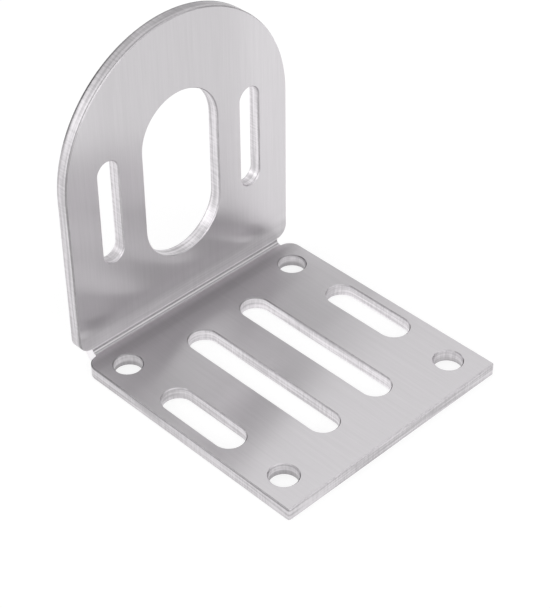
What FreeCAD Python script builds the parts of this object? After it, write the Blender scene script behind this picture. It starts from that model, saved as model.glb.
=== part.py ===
import FreeCAD, Part
import math
import os

# Motor mounting bracket: one sheet folded once into a base plate and an upright plate.
# Millimetres. X runs across the bracket, the upright stands at the rear (+Y), +Z is up.
# The origin is the centre of the base's four round holes, on the underside.

# Sheet and fold
sheet_thickness = 3.0
bend_inner_radius = 1.0
fold_corner_radius = 3.0
free_corner_radius = 0.5
edge_break = 0.2

# Overall sizes, from the outer faces of the folded sheet
bracket_width = 60.0
base_depth = 64.2
bracket_height = 72.3

# Base: a round hole near each corner, two long slots at the middle, and a short slot between the
# holes of each side. The margins run from a hole's centre to the side, the free edge and the fold line.
base_hole_diameter = 6.2
base_hole_side_margin = 6.0
base_hole_free_margin = 7.45
base_hole_fold_margin = 6.75
long_slot_width = 6.85
long_slot_travel = 35.0
long_slot_web = 8.35
short_slot_width = 6.95
short_slot_travel = 15.1

# Upright: one wide opening for the motor's boss, one narrow slot each side of it
motor_centre_height = 35.3
motor_travel = 19.2
boss_opening_width = 20.4
side_slot_width = 5.3
side_slot_web = 6.4

half_width = bracket_width / 2
fold_line = sheet_thickness + bend_inner_radius
neck_half_width = half_width - fold_corner_radius
base_hole_u = half_width - base_hole_side_margin
base_hole_pitch_along = base_depth - fold_line - base_hole_fold_margin - base_hole_free_margin
base_centre_v = base_depth - base_hole_free_margin - base_hole_pitch_along / 2
ACROSS = FreeCAD.Vector(1, 0, 0)
THICKNESS = FreeCAD.Vector(0, 0, 1)
QUARTER_TURN = 90
HALF_TURN = 180


def flat(u, v, w=0):
    """A point of a plate's drawing: u across, v away from the fold's outer corner, w through the sheet."""
    return FreeCAD.Vector(u, v, w)


def line(start, end):
    return Part.LineSegment(start, end).toShape()


def arc(centre, radius, from_degrees, to_degrees):
    """An anticlockwise arc in the plate's drawing."""
    circle = Part.Circle(centre, THICKNESS, radius)
    return Part.ArcOfCircle(circle, math.radians(from_degrees), math.radians(to_degrees)).toShape()


def round_hole(u, v, diameter):
    return [Part.Circle(flat(u, v), THICKNESS, diameter / 2).toShape()]


def slot(u, v, width, travel):
    """A round-ended slot along v, centred on (u, v); travel is the distance between its end centres."""
    radius = width / 2
    low = v - travel / 2
    high = v + travel / 2
    return [
        arc(flat(u, high), radius, 0, 180),
        line(flat(u - radius, high), flat(u - radius, low)),
        arc(flat(u, low), radius, 180, 360),
        line(flat(u + radius, low), flat(u + radius, high)),
    ]


def square_outline(length):
    """The base's outline, from the fold line to its free edge."""
    inset = half_width - free_corner_radius
    spring = length - free_corner_radius
    return [
        line(flat(-half_width, fold_line), flat(half_width, fold_line)),
        line(flat(half_width, fold_line), flat(half_width, spring)),
        arc(flat(inset, spring), free_corner_radius, 0, 90),
        line(flat(inset, length), flat(-inset, length)),
        arc(flat(-inset, spring), free_corner_radius, 90, 180),
        line(flat(-half_width, spring), flat(-half_width, fold_line)),
    ]


def arched_outline(length):
    """The upright's outline, from the fold line to a half-round top as wide as the plate."""
    spring = length - half_width
    return [
        line(flat(-half_width, fold_line), flat(half_width, fold_line)),
        line(flat(half_width, fold_line), flat(half_width, spring)),
        arc(flat(0, spring), half_width, 0, 180),
        line(flat(-half_width, spring), flat(-half_width, fold_line)),
    ]


def base_cutouts():
    long_slot_u = (long_slot_web + long_slot_width) / 2
    cutouts = []
    for side in (-1, 1):
        for end in (-1, 1):
            hole_v = base_centre_v + end * base_hole_pitch_along / 2
            cutouts.append(round_hole(side * base_hole_u, hole_v, base_hole_diameter))
        cutouts.append(slot(side * long_slot_u, base_centre_v, long_slot_width, long_slot_travel))
        cutouts.append(slot(side * base_hole_u, base_centre_v, short_slot_width, short_slot_travel))
    return cutouts


def upright_cutouts():
    cutouts = [slot(0, motor_centre_height, boss_opening_width, motor_travel)]
    side_slot_u = boss_opening_width / 2 + side_slot_web + side_slot_width / 2
    for side in (-1, 1):
        cutouts.append(slot(side * side_slot_u, motor_centre_height, side_slot_width, motor_travel))
    return cutouts


def break_edges(blank):
    """Chamfer every edge of the two skins, apart from those on the fold line."""
    skins = [face for face in blank.Faces if face.BoundBox.ZLength < edge_break]
    rims = [edge for skin in skins for edge in skin.Edges if edge.BoundBox.YMax > fold_line + edge_break]
    return blank.makeChamfer(edge_break, rims)


def corner_rim(w, outwards):
    """A ring of triangular section that breaks one skin's edge round a corner at the fold."""
    past = edge_break
    inner = fold_corner_radius - edge_break - past
    outer = fold_corner_radius + past
    above = w + outwards * past
    below = w - outwards * (edge_break + past)
    start = flat(inner, 0, above)
    section = Part.Face(Part.makePolygon([start, flat(outer, 0, above), flat(outer, 0, below), start]))
    return section.revolve(flat(0, 0), THICKNESS, -QUARTER_TURN)


def corner_waste():
    """What a rounded corner beside the fold loses, with the corner's centre at the origin."""
    radius = fold_corner_radius
    clear = radius + sheet_thickness
    outline = [
        arc(flat(0, 0), radius, 270, 360),
        line(flat(radius, 0), flat(clear, 0)),
        line(flat(clear, 0), flat(clear, -clear)),
        line(flat(clear, -clear), flat(0, -clear)),
        line(flat(0, -clear), flat(0, -radius)),
    ]
    waste = Part.Face(Part.Wire(outline)).extrude(THICKNESS * sheet_thickness)
    return [waste, corner_rim(0, -1), corner_rim(sheet_thickness, 1)]


def round_fold_corners(blank):
    corner_v = fold_line + fold_corner_radius
    tools = []
    for tool in corner_waste():
        right = tool.translated(flat(neck_half_width, corner_v))
        tools += [right, right.mirror(flat(0, 0), ACROSS)]
    return blank.cut(tools)


def plate(outline, cutouts):
    """A flat plate punched through, with broken edges and a rounded corner each side of the fold."""
    holes = [Part.Face(Part.Wire(edges)) for edges in cutouts]
    face = Part.Face(Part.Wire(outline)).cut(holes).Faces[0]
    return round_fold_corners(break_edges(face.extrude(THICKNESS * sheet_thickness)))


def neck():
    """The strip that the fold bends a quarter turn, from the base's rear edge to the upright's foot."""
    rear_edge = base_centre_v - fold_line
    left = FreeCAD.Vector(-neck_half_width, rear_edge, 0)
    right = FreeCAD.Vector(neck_half_width, rear_edge, 0)
    up = THICKNESS * sheet_thickness
    section = Part.Face(Part.makePolygon([left, right, right + up, left + up, left]))
    return section.revolve(FreeCAD.Vector(0, rear_edge, fold_line), ACROSS, QUARTER_TURN)


def place(blank, axis, degrees):
    """Turn a plate from its drawing about the fold's outer corner and move it to the rear of the base."""
    corner = FreeCAD.Vector(0, base_centre_v, 0)
    blank.Placement = FreeCAD.Placement(corner, FreeCAD.Rotation(axis, degrees))
    return blank


def bracket():
    base = place(plate(square_outline(base_depth), base_cutouts()), THICKNESS, HALF_TURN)
    upright = place(plate(arched_outline(bracket_height), upright_cutouts()), ACROSS, QUARTER_TURN)
    return base.fuse([neck(), upright]).removeSplitter().Solids[0]


os.makedirs("parts", exist_ok=True)
bracket().exportStep("parts/bracket.step")
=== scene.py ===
import math

import bpy
from mathutils import Matrix, Vector


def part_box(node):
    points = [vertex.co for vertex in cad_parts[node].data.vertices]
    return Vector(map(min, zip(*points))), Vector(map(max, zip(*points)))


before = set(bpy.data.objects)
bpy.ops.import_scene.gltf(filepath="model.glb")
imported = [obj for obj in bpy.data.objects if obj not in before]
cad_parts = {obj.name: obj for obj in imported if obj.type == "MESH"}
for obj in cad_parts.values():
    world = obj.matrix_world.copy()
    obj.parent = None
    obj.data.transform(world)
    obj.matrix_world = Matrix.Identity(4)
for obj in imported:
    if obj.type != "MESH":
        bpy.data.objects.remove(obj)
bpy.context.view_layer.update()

# A motor mounting bracket of brushed stainless sheet on a white table, under soft studio light.
# Metres, in the part's own frame: X across, Y towards the upright, Z up.

MM = 0.001

# Camera, fitted to the photograph
CAMERA_PLACE = Vector((-196.3, -198.35, 245.9)) * MM
CAMERA_AZIMUTH = -44.16
CAMERA_ELEVATION = 39.17
CAMERA_ROLL = -0.478
CAMERA_LENS = 105.42

# Soft lights round the part: azimuth from +Y towards +X and elevation in degrees, and strength
SOFT_LIGHTS = (
    (19, 71, 1.75),
    (57, 17, 0.97),
    (171, 22, 2.15),
    (216, 16, 2.5),
    (295, 25, 2.5),
)
FALL_OFF = 9
ROOM_LEVEL = 0.01

# White table
TABLE_HALF = 1.5
TABLE_SHADE = 0.25
TABLE_GLOW = 0.8

# The sheet, and where its bend starts on the base and ends on the upright, from its outer faces
HALF_WIDTH, REAR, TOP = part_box("bracket")[1]
SHEET = 3.0 * MM
FOLD = 4.0 * MM
FOLD_Y = REAR - FOLD
ARCH_CENTRE = TOP - HALF_WIDTH

# Every opening lies within this of the base's middle or of the arch's centre
OPENING_REACH = 27.5 * MM

# How squarely a side of the sheet and a rim look through the sheet, at least
SIDE_SQUARENESS = 0.95
RIM_SQUARENESS = 0.3

# Round holes in the base: where their centres are, and how far their walls are from there at most
HOLE_X = 24.0 * MM
HOLE_Y = 23.0 * MM
HOLE_REACH = 4.0 * MM

# The inner side of the sheet lies ahead of this Y and above this Z
INNER_SIDE_Y = 31.0 * MM
INNER_SIDE_Z = 2.5 * MM

# Greys of the two sides, the cut edges and the rims between them, darker marks first, and the bend's ends,
# painted near white as a painted highlight
SKIN_GREYS = ((0.611, 0.594, 0.611), (0.648, 0.63, 0.648))
CUT_GREYS = ((0.475, 0.46, 0.475), (0.715, 0.693, 0.715))
RIM_GREYS = ((0.53, 0.513, 0.53), (0.62, 0.6, 0.62))
BEND_END_HIGHLIGHT_GREY = (0.93, 0.91, 0.93)

# Marks on the two sides, as noise cells per metre across the bracket and along the sheet
FINE_LINES = (6000, 120)
BROAD_LINES = (1400, 40)
PRESS_MARKS = (60, 2600)

# Marks on the cut edges, as noise cells per metre through the sheet and along the edge
CUT_BANDS = (1700, 60)
CUT_TICKS = (250, 2600)

# Marks on the rims, as noise cells per metre
RIM_WEAR = 700

# The stretch of noise over which marks go from dark to light
SOFT_MARKS = (0.3, 0.7)
CLEAR_MARKS = (0.35, 0.65)

# Painted shade and painted highlights on the inner side by y + z in millimetres, which runs along the base
# and on up the upright
FOLD_PAINTED_LIGHT_AND_SHADE = (
    # The base, with painted shade darkest beside the bend
    (-7, 0.96), (3, 0.95), (8, 0.88), (15, 0.88),
    (21, 0.91), (26, 0.95), (28, 0.93), (29.5, 0.84), (30.7, 0.79),
    # The bend, with a painted highlight line each side of a painted dark line
    (32.3, 0.96), (32.8, 0.98), (33.3, 1.58), (33.6, 1.32), (33.9, 0.88),
    (34.15, 0.56), (34.35, 0.48), (34.6, 0.86), (34.85, 1.45), (35.3, 1.17),
    # The foot of the upright, made lighter with painted light
    (37.2, 1.21), (39, 1.1), (42, 1.0),
)

# How much of the inner side the press has dulled, and how strong its marks are, by the same y + z
PRESSED_SHARE = ((34.4, 0.0), (35, 1.0), (37, 0.9), (41, 0.0))
PRESS_MARK_TONE = ((32.6, 0.0), (33.2, 0.4), (36, 0.4), (40, 0.0))

# Painted light on the upright's inner side and on the walls of its slots, by x in millimetres
UPRIGHT_PAINTED_LIGHT = ((-26, 1.08), (-17, 1.03), (10, 1.03), (25, 1.18))
UPRIGHT_SLOT_PAINTED_LIGHT = ((-17, 1.17), (10, 1.16), (22, 1.27))

# Painted light on the walls in the base, from the left side to the right
BASE_SLOT_PAINTED_LIGHT = (1.12, 1.3)
HOLE_PAINTED_LIGHT = (1.0, 1.2)

# Painted shade on a slot's rear end in the base, whose tone grows to 1 as the wall turns away from straight
# ahead
SLOT_REAR_PAINTED_SHADE = 0.86
SLOT_REAR = (-1.0, -0.5)

# Tone of a hole's wall by the height above the underside in millimetres
HOLE_FOOT_TONE = ((0.2, 0.6), (0.7, 0.65), (1.5, 1.0))

# A cut edge that turns left has a dark line along the inner side, which fades between these depths
CUT_LEFT = (-0.8, -0.4)
INNER_LINE = (0.3 * MM, 0.5 * MM)

# The arch's cut edge has a dark line along the outer side, which grows between these depths.
# How dark it is goes by how far the edge turns upwards, and so does a painted shade over the whole edge,
# darker where it turns up.
OUTER_LINE = (2.2 * MM, 2.6 * MM)
ARCH_LINE = ((0.3, 0.0), (0.5, 0.7), (0.75, 0.8), (0.88, 0.5), (1.0, 0.3))
ARCH_PAINTED_SHADE = ((0.0, 1.05), (0.78, 1.05), (0.9, 0.9), (1.0, 0.9))

# Painted light and shade on the rims: lighter where they turn right, and darker where they turn straight
# left
RIM_RIGHT = (-0.3, 0.3)
RIM_RIGHT_PAINTED_LIGHT = 1.45
RIM_LEFT = -0.7

# Painted shade: rims lose this much where they turn to the rear and up
RIM_REAR = (0.3, 0.6)
RIM_UP = (0.15, 0.35)
RIM_REAR_PAINTED_SHADE = 0.8

# Painted shade: rims of the base lose this much towards the bend, between these places
RIM_BEND_SPAN = (12.0 * MM, 22.0 * MM)
RIM_BEND_PAINTED_SHADE = 0.4


def add_object(name, data, matrix=None):
    obj = bpy.data.objects.new(name, data)
    bpy.context.scene.collection.objects.link(obj)
    if matrix is not None:
        obj.matrix_world = matrix
    return obj


class Nodes:
    """A small helper that adds nodes to a tree and links them."""

    def __init__(self, tree):
        self.tree = tree
        self.tree.nodes.clear()

    def add(self, kind, inputs=None, **settings):
        node = self.tree.nodes.new(kind)
        for key, value in settings.items():
            setattr(node, key, value)
        for key, value in (inputs or {}).items():
            self.put(node.inputs[key], value)
        return node

    def put(self, socket, value):
        if isinstance(value, bpy.types.NodeSocket):
            self.tree.links.new(value, socket)
        else:
            socket.default_value = value

    def math(self, operation, a, b=0.0):
        return self.add("ShaderNodeMath", {0: a, 1: b}, operation=operation).outputs[0]

    def plus(self, a, b):
        return self.math("ADD", a, b)

    def minus(self, a, b):
        return self.math("SUBTRACT", a, b)

    def times(self, a, b):
        return self.math("MULTIPLY", a, b)

    def ramp(self, value, low, high, to_low=0.0, to_high=1.0):
        """A smooth step from to_low at low to to_high at high."""
        inputs = {"Value": value, "From Min": low, "From Max": high, "To Min": to_low, "To Max": to_high}
        return self.add("ShaderNodeMapRange", inputs, interpolation_type="SMOOTHSTEP").outputs["Result"]

    def profile(self, value, stops, unit=1.0):
        """A smooth curve through stops of (value, height), level past both ends."""
        height = stops[0][1]
        for (low, before), (high, after) in zip(stops, stops[1:]):
            height = self.plus(height, self.ramp(value, low * unit, high * unit, 0.0, after - before))
        return height

    def vector(self, x, y, z):
        return self.add("ShaderNodeCombineXYZ", {"X": x, "Y": y, "Z": z}).outputs[0]

    def scaled(self, vector, factors):
        return self.add("ShaderNodeVectorMath", {0: vector, 1: factors}, operation="MULTIPLY").outputs[0]

    def split(self, vector):
        return self.add("ShaderNodeSeparateXYZ", {0: vector}).outputs

    def point(self):
        """The shaded point in the part's frame."""
        return self.add("ShaderNodeTexCoord").outputs["Object"]

    def facing(self):
        """How far the shaded face turns right, to the rear and up."""
        return self.split(self.add("ShaderNodeNewGeometry").outputs["Normal"])

    def noise(self, vector, scale=1.0):
        return self.add("ShaderNodeTexNoise", {"Vector": vector, "Scale": scale}).outputs["Fac"]

    def lines(self, across, along, cells, layer):
        """Noise drawn out by its cells per metre across and along the sheet."""
        return self.noise(self.vector(self.times(across, cells[0]), self.times(along, cells[1]), layer))

    def bump(self, height, strength, distance):
        inputs = {"Strength": strength, "Distance": distance, "Height": height}
        return self.add("ShaderNodeBump", inputs).outputs[0]

    def shade(self, greys, factor):
        """A colour between two greys, as factor goes from 0 to 1."""
        mix = self.add("ShaderNodeMix", {"Factor": factor}, data_type="RGBA")
        mix.inputs[6].default_value = (*greys[0], 1)
        mix.inputs[7].default_value = (*greys[1], 1)
        return mix.outputs[2]

    def toned(self, colour, tone):
        """A colour made lighter or darker, but never lighter than white."""
        shifted = self.add("ShaderNodeVectorMath", {0: colour, "Scale": tone}, operation="SCALE").outputs[0]
        return self.add("ShaderNodeVectorMath", {0: shifted, 1: (1, 1, 1)}, operation="MINIMUM").outputs[0]

    def principled(self, inputs):
        return self.add("ShaderNodeBsdfPrincipled", inputs).outputs[0]

    def finish(self, surface):
        self.add("ShaderNodeOutputMaterial", {"Surface": surface})


def new_material(name):
    material = bpy.data.materials.new(name)
    material.use_nodes = True
    return material, Nodes(material.node_tree)


def brushed_skin():
    """The sheet's two sides: fine lines along the sheet, press marks inside the bend, painted shade and
    painted highlights along the fold, and painted light towards the upright's sides.
    """
    material, n = new_material("brushed_skin")
    x, y, z = n.split(n.point())
    along = n.plus(y, z)
    fine = n.lines(x, along, FINE_LINES, 0)
    broad = n.lines(x, along, BROAD_LINES, 7)
    streaks = n.plus(n.times(fine, 0.5), n.times(broad, 0.5))
    press_marks = n.minus(n.lines(x, along, PRESS_MARKS, 3), 0.5)
    press_marks = n.times(press_marks, n.profile(along, PRESS_MARK_TONE, MM))
    # Painted light: the upright's inner side is lighter towards its sides
    sides = n.times(n.minus(n.profile(x, UPRIGHT_PAINTED_LIGHT, MM), 1.0), n.math("GREATER_THAN", z, FOLD))
    # Painted shade and highlights by the fold and painted light on the upright, together with the press
    # marks
    painted_light_and_press_marks = n.minus(n.plus(n.profile(along, FOLD_PAINTED_LIGHT_AND_SHADE, MM), n.plus(press_marks, sides)), 1.0)
    inside = n.times(n.math("LESS_THAN", y, INNER_SIDE_Y), n.math("GREATER_THAN", z, INNER_SIDE_Z))
    tone = n.plus(1.0, n.times(painted_light_and_press_marks, inside))
    brushed = {
        "Base Color": n.toned(n.shade(SKIN_GREYS, n.ramp(streaks, *SOFT_MARKS)), tone),
        "Metallic": 1.0,
        "Roughness": 0.29,
        "Anisotropic": 1.0,
        "Tangent": n.vector(1, 0, 0),
        "Normal": n.bump(streaks, strength=0.02, distance=0.02 * MM),
    }
    pressed = dict(brushed, Roughness=0.5, Tangent=n.vector(0, 1, 1))
    share = n.times(n.profile(along, PRESSED_SHARE, MM), inside)
    both = {0: share, 1: n.principled(brushed), 2: n.principled(pressed)}
    n.finish(n.add("ShaderNodeMixShader", both).outputs[0])
    return material


def cut_metal(name, upright, tone_of, darkness):
    """A cut edge of the sheet: lines along its length, fainter ones across it, and a dark line along
    the inner side where it turns left."""
    material, n = new_material(name)
    point = n.point()
    x, y, z = n.split(point)
    facing = n.facing()
    through = Vector((0, 1, 0)) if upright else Vector((0, 0, 1))
    length = Vector((1, 1, 1)) - through
    bands = n.noise(n.scaled(point, through * CUT_BANDS[0] + length * CUT_BANDS[1]))
    ticks = n.noise(n.scaled(point, through * CUT_TICKS[0] + length * CUT_TICKS[1]))
    pattern = n.plus(n.times(bands, 0.7), n.times(ticks, 0.3))
    depth = n.minus(y, REAR - SHEET) if upright else n.minus(SHEET, z)
    line = n.times(n.ramp(facing[0], *CUT_LEFT, 1.0, 0.0), n.ramp(depth, *INNER_LINE, darkness, 0.0))
    tone = n.times(n.minus(1.0, line), tone_of(n, x, depth, facing))
    n.finish(n.principled({
        "Base Color": n.toned(n.shade(CUT_GREYS, n.ramp(pattern, *CLEAR_MARKS)), tone),
        "Metallic": 1.0,
        "Roughness": 0.4,
        "Normal": n.bump(pattern, strength=0.25, distance=0.03 * MM),
    }))
    return material


def base_edge_tone(n, x, depth, facing):
    return 1.0


def upright_edge_line_and_painted_shade(n, x, depth, facing):
    line = n.times(n.profile(facing[2], ARCH_LINE), n.ramp(depth, *OUTER_LINE))
    # Painted shade over the whole arch edge, darker where it turns up
    return n.times(n.minus(1.0, line), n.profile(facing[2], ARCH_PAINTED_SHADE))


def base_slot_painted_light_and_shade(n, x, depth, facing):
    """Painted light, lighter to the right, and painted shade, darker at the rear end, whose wall looks
    forwards.
    """
    sideways_painted_light = n.ramp(x, -HALF_WIDTH, HALF_WIDTH, *BASE_SLOT_PAINTED_LIGHT)
    return n.times(sideways_painted_light, n.ramp(facing[1], *SLOT_REAR, SLOT_REAR_PAINTED_SHADE, 1.0))


def upright_slot_painted_light(n, x, depth, facing):
    # Painted light on the walls of the upright's slots, lighter to the right
    return n.profile(x, UPRIGHT_SLOT_PAINTED_LIGHT, MM)


def hole_painted_light_and_foot_tone(n, x, depth, facing):
    """Painted light, lighter to the right, and darker towards the underside."""
    sideways_painted_light = n.ramp(x, -HALF_WIDTH, HALF_WIDTH, *HOLE_PAINTED_LIGHT)
    return n.times(sideways_painted_light, n.profile(n.minus(SHEET, depth), HOLE_FOOT_TONE, MM))


def broken_rim(name, left_painted_shade, left_end):
    """The narrow broken edge between a side of the sheet and a cut edge, with its wear. Painted shade
    darkens it by left_painted_shade where it turns straight left, which fades until it turns left by
    left_end only; painted light lightens it where it turns right, and painted shade darkens it to the rear
    and up and towards the bend."""
    material, n = new_material(name)
    facing = n.facing()
    _, y, z = n.split(n.point())
    # Painted light and shade by the way the rim turns
    painted_left_shade = n.ramp(facing[0], RIM_LEFT, left_end, left_painted_shade, 1.0)
    painted_right_light = n.ramp(facing[0], *RIM_RIGHT, 1.0, RIM_RIGHT_PAINTED_LIGHT)
    painted_rear_shade = n.times(n.ramp(facing[1], *RIM_REAR), n.ramp(facing[2], *RIM_UP))
    painted_bend_shade = n.times(n.ramp(y, *RIM_BEND_SPAN), n.math("LESS_THAN", z, FOLD))
    tone = n.times(n.times(painted_left_shade, painted_right_light), n.minus(1.0, n.times(painted_rear_shade, RIM_REAR_PAINTED_SHADE)))
    tone = n.times(tone, n.minus(1.0, n.times(painted_bend_shade, RIM_BEND_PAINTED_SHADE)))
    wear = n.ramp(n.noise(n.point(), RIM_WEAR), *SOFT_MARKS)
    n.finish(n.principled({
        "Base Color": n.toned(n.shade(RIM_GREYS, wear), tone),
        "Metallic": 1.0,
        "Roughness": 0.5,
    }))
    return material


def bend_end_painted_highlight():
    """The cut ends of the bend, painted near white as a painted highlight."""
    material, n = new_material("cut_end_of_bend_painted_highlight")
    n.finish(n.principled({"Base Color": (*BEND_END_HIGHLIGHT_GREY, 1), "Metallic": 1.0, "Roughness": 0.4}))
    return material


def in_opening(centre, upright):
    """Whether a rim or a cut edge belongs to an opening, and not to the sheet's outline."""
    if upright:
        past_middle = max(centre.z - ARCH_CENTRE, 0)
        return centre.z > 2 * FOLD and math.hypot(centre.x, past_middle) < OPENING_REACH
    return abs(centre.x) < OPENING_REACH and -OPENING_REACH < centre.y < FOLD_Y - SHEET


def finish_of(normal, centre):
    """Which finish a face of the mesh has, from the way it looks and the region it lies in."""
    if centre.y > FOLD_Y and centre.z < FOLD:
        return "end" if abs(normal.x) > SIDE_SQUARENESS else "skin"
    upright = centre.z > FOLD
    plate = "upright" if upright else "base"
    squareness = abs(normal.y if upright else normal.z)
    if squareness > SIDE_SQUARENESS:
        return "skin"
    opening = in_opening(centre, upright)
    if squareness > RIM_SQUARENESS:
        return f"rim_{plate}_slot" if opening else "rim_edge"
    if not opening:
        return f"edge_{plate}"
    from_hole = math.hypot(abs(centre.x) - HOLE_X, abs(centre.y) - HOLE_Y)
    return "hole" if from_hole < HOLE_REACH and not upright else f"slot_{plate}"


def dress(bracket):
    finishes = {
        "skin": brushed_skin(),
        "rim_edge": broken_rim("broken_rim_of_edges", left_painted_shade=0.6, left_end=-0.5),
        "rim_base_slot": broken_rim("broken_rim_of_base_slots", left_painted_shade=0.6, left_end=-0.65),
        "rim_upright_slot": broken_rim("broken_rim_of_upright_slots", left_painted_shade=0.9, left_end=-0.65),
        "end": bend_end_painted_highlight(),
        "edge_base": cut_metal("cut_edge_of_base", False, base_edge_tone, darkness=0.5),
        "edge_upright": cut_metal("cut_edge_of_upright", True, upright_edge_line_and_painted_shade, darkness=0.5),
        "slot_base": cut_metal("slot_wall_of_base", False, base_slot_painted_light_and_shade, darkness=0.25),
        "slot_upright": cut_metal("slot_wall_of_upright", True, upright_slot_painted_light, darkness=0.2),
        "hole": cut_metal("hole_wall", False, hole_painted_light_and_foot_tone, darkness=0.1),
    }
    mesh = bracket.data
    mesh.materials.clear()
    for material in finishes.values():
        mesh.materials.append(material)
    names = list(finishes)
    for face in mesh.polygons:
        face.material_index = names.index(finish_of(face.normal, face.center))


def table():
    """A plain white table, which glows only where the camera sees it, straight or by the object."""
    corners = [(-1, -1, 0), (1, -1, 0), (1, 1, 0), (-1, 1, 0)]
    mesh = bpy.data.meshes.new("table_top")
    mesh.from_pydata([Vector(corner) * TABLE_HALF for corner in corners], [], [(0, 1, 2, 3)])
    material, n = new_material("white_table")
    path = n.add("ShaderNodeLightPath").outputs
    by_object = n.math("MAXIMUM", path["Is Glossy Ray"], path["Is Transmission Ray"])
    seen = n.math("MAXIMUM", path["Is Camera Ray"], by_object)
    n.finish(n.principled({
        "Base Color": (TABLE_SHADE, TABLE_SHADE, TABLE_SHADE, 1),
        "Roughness": 0.9,
        "Specular IOR Level": 0.0,
        "Emission Color": (1, 1, 1, 1),
        "Emission Strength": n.times(seen, TABLE_GLOW),
    }))
    mesh.materials.append(material)
    add_object("table_top", mesh)


def towards(azimuth, elevation):
    """The direction at this azimuth, from +Y towards +X, and elevation, in degrees."""
    flat = math.cos(math.radians(elevation))
    across = flat * math.sin(math.radians(azimuth))
    away = flat * math.cos(math.radians(azimuth))
    return (across, away, math.sin(math.radians(elevation)))


def studio():
    """A plain room with large soft lights, seen as white by the camera."""
    world = bpy.data.worlds.new("studio")
    world.use_nodes = True
    n = Nodes(world.node_tree)
    direction = n.add("ShaderNodeTexCoord").outputs["Generated"]
    level = ROOM_LEVEL
    for azimuth, elevation, strength in SOFT_LIGHTS:
        inputs = {0: direction, 1: towards(azimuth, elevation)}
        facing = n.add("ShaderNodeVectorMath", inputs, operation="DOT_PRODUCT").outputs["Value"]
        glow = n.math("EXPONENT", n.times(n.minus(facing, 1.0), FALL_OFF))
        level = n.plus(level, n.times(glow, strength))
    path = n.add("ShaderNodeLightPath").outputs
    seen = n.math("MAXIMUM", path["Is Camera Ray"], path["Is Transmission Ray"])
    shown = n.add("ShaderNodeMix", {"Factor": seen, "A": level, "B": 1.0}, data_type="FLOAT").outputs[0]
    background = n.add("ShaderNodeBackground", {"Color": (1, 1, 1, 1), "Strength": shown})
    n.add("ShaderNodeOutputWorld", {"Surface": background.outputs[0]})
    bpy.context.scene.world = world


def photo_camera():
    data = bpy.data.cameras.new("photo_camera")
    data.lens = CAMERA_LENS
    turn = Matrix.Rotation(math.radians(CAMERA_AZIMUTH), 4, "Z")
    tip = Matrix.Rotation(math.radians(90 - CAMERA_ELEVATION), 4, "X")
    roll = Matrix.Rotation(math.radians(CAMERA_ROLL), 4, "Z")
    camera = add_object("photo_camera", data, Matrix.Translation(CAMERA_PLACE) @ turn @ tip @ roll)
    bpy.context.scene.camera = camera


dress(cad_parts["bracket"])
table()
studio()
photo_camera()
bpy.context.scene.view_settings.view_transform = "Standard"
